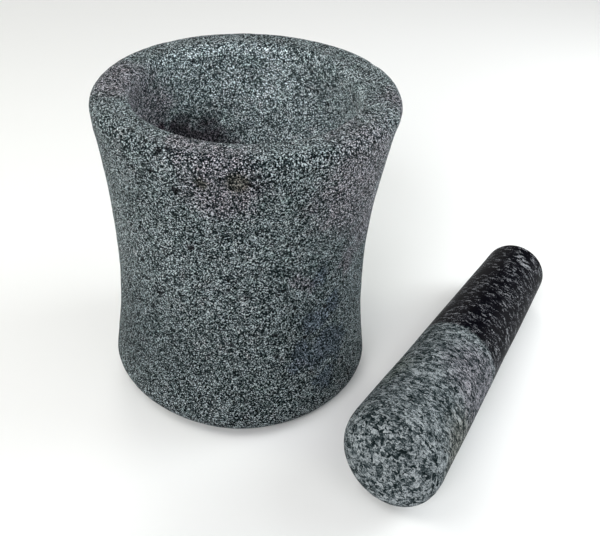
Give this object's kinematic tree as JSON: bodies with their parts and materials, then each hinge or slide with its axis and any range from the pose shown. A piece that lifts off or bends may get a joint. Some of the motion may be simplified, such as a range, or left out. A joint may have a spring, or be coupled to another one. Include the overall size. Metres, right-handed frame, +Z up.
{
  "type": "mortar and pestle",
  "caption": "Waisted stone mortar with a round grinding bowl and a flat foot, and a loose tapered stone pestle lying beside it.",
  "frame": {"origin": "centre of the mortar's flat foot, on the surface that the mortar and the pestle rest on", "axes": "+Z up along the mortar's axis; -Y is the front; the pestle lies on the +X side with its head towards -Y"},
  "size_m": [0.2413, 0.1876, 0.1532],
  "materials": {
    "honed_granite": "fine bush-hammered grey-green granite",
    "flecked_granite": "honed coarse granite, polished dark grip"
  },
  "bodies": {
    "mortar": {"mortar": "honed_granite"},
    "pestle": {"pestle": "flecked_granite"}
  },
  "joints": [
    {"name": "pestle_lift", "type": "slide", "parent": "mortar", "child": "pestle", "axis": [0, 0, 1], "range_m": [0, 0.16]}
  ]
}
